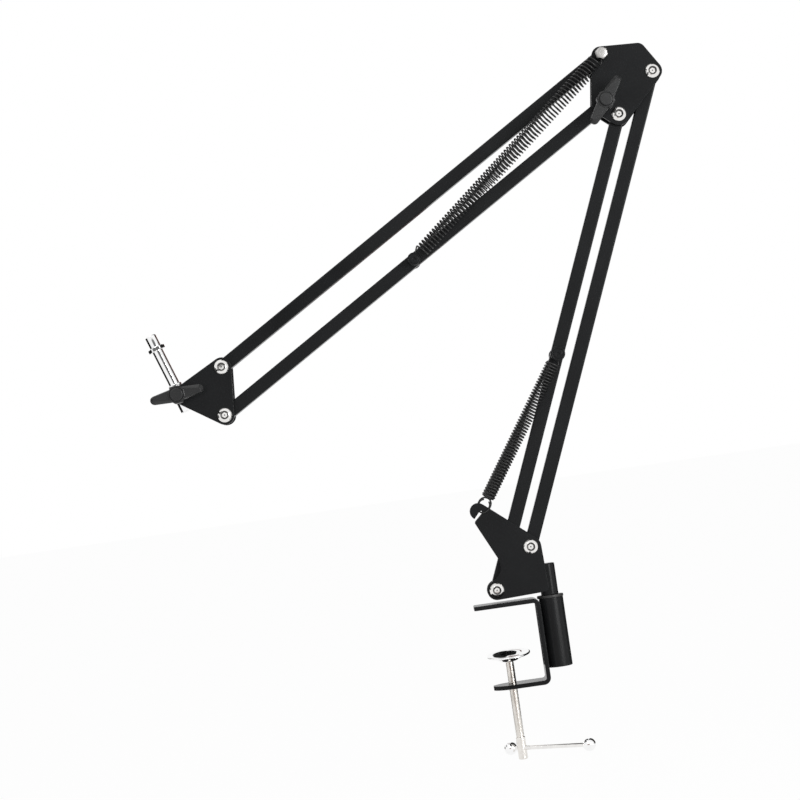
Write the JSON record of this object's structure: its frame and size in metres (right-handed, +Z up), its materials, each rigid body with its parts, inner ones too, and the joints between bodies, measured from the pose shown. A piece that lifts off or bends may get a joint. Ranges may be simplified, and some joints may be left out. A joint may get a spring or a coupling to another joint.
{
  "type": "microphone boom arm",
  "caption": "Desk-clamp microphone boom arm: two spring-balanced parallel-bar arms on a swivel mast, with locking wing knobs and a threaded stud at the tip.",
  "frame": {"origin": "on the clamping face under the top plate of the clamp, on the axis of the clamp screw", "axes": "+Z up along the mast, +X from the clamp screw to the mast, -Y is the front, where the knobs are; the arms lie in the plane Y = 0"},
  "size_m": [0.393, 0.0594, 0.4942],
  "materials": {
    "black_coat": "satin black powder coat",
    "black_nylon": "matte",
    "grey_plastic": "fine matte grain",
    "nickel": "bright nickel plate",
    "chrome": "polished chrome plate",
    "spring_steel": "blackened spring wire"
  },
  "bodies": {
    "clamp": {"clamp_frame": "black_coat", "socket_tube": "black_coat", "socket_bush": "black_nylon"},
    "pressure_foot": {"pressure_cup": "chrome"},
    "clamp_screw": {"clamp_screw": "nickel"},
    "tommy_bar": {"tommy_bar": "chrome", "tommy_bar_balls": "chrome"},
    "mast": {"base_plate_front": "black_coat", "base_plate_back": "black_coat", "mast_tube": "black_coat", "base_bolts": "nickel", "base_nuts": "nickel"},
    "front_bar": {"lower_front_bar": "black_coat", "lower_front_bushes": "black_nylon", "lower_spring_pin": "black_coat"},
    "rear_bar": {"lower_rear_bar": "black_coat", "lower_rear_bushes": "black_nylon"},
    "elbow": {"elbow_plate_front": "black_coat", "elbow_plate_back": "black_coat", "elbow_bolts": "nickel", "elbow_nuts": "nickel", "upper_spring_bolt": "nickel", "upper_spring_nuts": "nickel", "upper_spring_spacers": "black_coat", "elbow_lock_bolt": "nickel", "elbow_lock_washer": "black_coat"},
    "elbow_knob": {"elbow_wing_knob": "grey_plastic"},
    "under_bar": {"upper_under_bar": "black_coat", "upper_under_bushes": "black_nylon", "upper_spring_pin": "black_coat"},
    "top_bar": {"upper_top_bar": "black_coat", "upper_top_bushes": "black_nylon"},
    "head": {"head_plate_front": "black_coat", "head_plate_back": "black_coat", "head_bolts": "nickel", "head_nuts": "nickel", "head_lock_bolt": "nickel", "head_lock_washer": "black_coat"},
    "head_knob": {"head_wing_knob": "grey_plastic"},
    "stud": {"mic_stud": "chrome", "stud_collar": "chrome", "stud_washers": "black_nylon"},
    "lower_springs": {"lower_spring_front": "spring_steel", "lower_spring_back": "spring_steel"},
    "lower_eyes": {"lower_spring_eyes": "spring_steel"},
    "upper_springs": {"upper_spring_front": "spring_steel", "upper_spring_back": "spring_steel"},
    "upper_eyes": {"upper_spring_eyes": "spring_steel"}
  },
  "joints": [
    {"name": "screw_turn", "type": "hinge", "parent": "pressure_foot", "child": "clamp_screw", "pos_m": [0, 0, -0.08], "axis": [0, 0, 1], "range_deg": [-5040, 10080]},
    {"name": "foot_lift", "type": "slide", "parent": "clamp", "child": "pressure_foot", "axis": [0, 0, 1], "range_m": [-0.014, 0.028]},
    {"name": "tommy_bar_slide", "type": "slide", "parent": "clamp_screw", "child": "tommy_bar", "axis": [0.788, -0.6157, 0], "range_m": [-0.048, 0.0015]},
    {"name": "mast_swivel", "type": "hinge", "parent": "clamp", "child": "mast", "pos_m": [0.0352, 0, 0.003], "axis": [0, 0, 1], "continuous": true},
    {"name": "lower_arm_swing", "type": "hinge", "parent": "mast", "child": "front_bar", "pos_m": [-0.0017, 0, 0.0122], "axis": [0, 1, 0], "range_deg": [-35, 8]},
    {"name": "rear_bar_swing", "type": "hinge", "parent": "mast", "child": "rear_bar", "pos_m": [0.02638, 0, 0.03941], "axis": [0, 1, 0], "range_deg": [-35, 8]},
    {"name": "elbow_level", "type": "hinge", "parent": "front_bar", "child": "elbow", "pos_m": [0.1328, 0, 0.33532], "axis": [0, 1, 0], "range_deg": [-8, 35]},
    {"name": "lower_spring_aim", "type": "hinge", "parent": "mast", "child": "lower_springs", "pos_m": [-0.0052, 0, 0.0683], "axis": [0, 1, 0], "range_deg": [-49.84, 11.39]},
    {"name": "lower_spring_stretch", "type": "slide", "parent": "lower_springs", "child": "lower_eyes", "axis": [0.5597, 0, 0.8287], "range_m": [-0.01026, 0.00234], "deforming": ["lower_spring_front", "lower_spring_back", "lower_spring_eyes"]},
    {"name": "upper_arm_swing", "type": "hinge", "parent": "elbow", "child": "under_bar", "pos_m": [0.1236, 0, 0.34442], "axis": [0, 1, 0], "range_deg": [-20, 45]},
    {"name": "top_bar_swing", "type": "hinge", "parent": "elbow", "child": "top_bar", "pos_m": [0.126, 0, 0.37874], "axis": [0, 1, 0], "range_deg": [-20, 45]},
    {"name": "head_level", "type": "hinge", "parent": "under_bar", "child": "head", "pos_m": [-0.17546, 0, 0.16259], "axis": [0, 1, 0], "range_deg": [-45, 20]},
    {"name": "upper_spring_aim", "type": "hinge", "parent": "elbow", "child": "upper_springs", "pos_m": [0.126, 0, 0.37874], "axis": [0, 1, 0], "range_deg": [-18.22, 41]},
    {"name": "upper_spring_stretch", "type": "slide", "parent": "upper_springs", "child": "upper_eyes", "axis": [-0.772, 0, -0.6356], "range_m": [-0.02192, 0.00974], "deforming": ["upper_spring_front", "upper_spring_back", "upper_spring_eyes"]},
    {"name": "elbow_knob_turn", "type": "hinge", "parent": "elbow", "child": "elbow_knob", "pos_m": [0.1236, 0, 0.34442], "axis": [0, 1, 0], "range_deg": [-360, 0]},
    {"name": "head_knob_turn", "type": "hinge", "parent": "head", "child": "head_knob", "pos_m": [-0.20566, 0, 0.18109], "axis": [0, 1, 0], "range_deg": [-360, 0]},
    {"name": "stud_tilt", "type": "hinge", "parent": "head", "child": "stud", "pos_m": [-0.20566, 0, 0.18109], "axis": [0, 1, 0], "range_deg": [-65, 45]}
  ],
  "couplings": [
    {"joint": "foot_lift", "follows": "screw_turn", "m_per_rad": 0.00015915},
    {"joint": "rear_bar_swing", "follows": "lower_arm_swing", "ratio": 1},
    {"joint": "elbow_level", "follows": "lower_arm_swing", "ratio": -1},
    {"joint": "lower_spring_aim", "follows": "lower_arm_swing", "ratio": 1.424},
    {"joint": "lower_spring_stretch", "follows": "lower_arm_swing", "m_per_rad": 0.016788},
    {"joint": "top_bar_swing", "follows": "upper_arm_swing", "ratio": 1},
    {"joint": "head_level", "follows": "upper_arm_swing", "ratio": -1},
    {"joint": "upper_spring_aim", "follows": "upper_arm_swing", "ratio": 0.911},
    {"joint": "upper_spring_stretch", "follows": "upper_arm_swing", "m_per_rad": -0.027903}
  ]
}
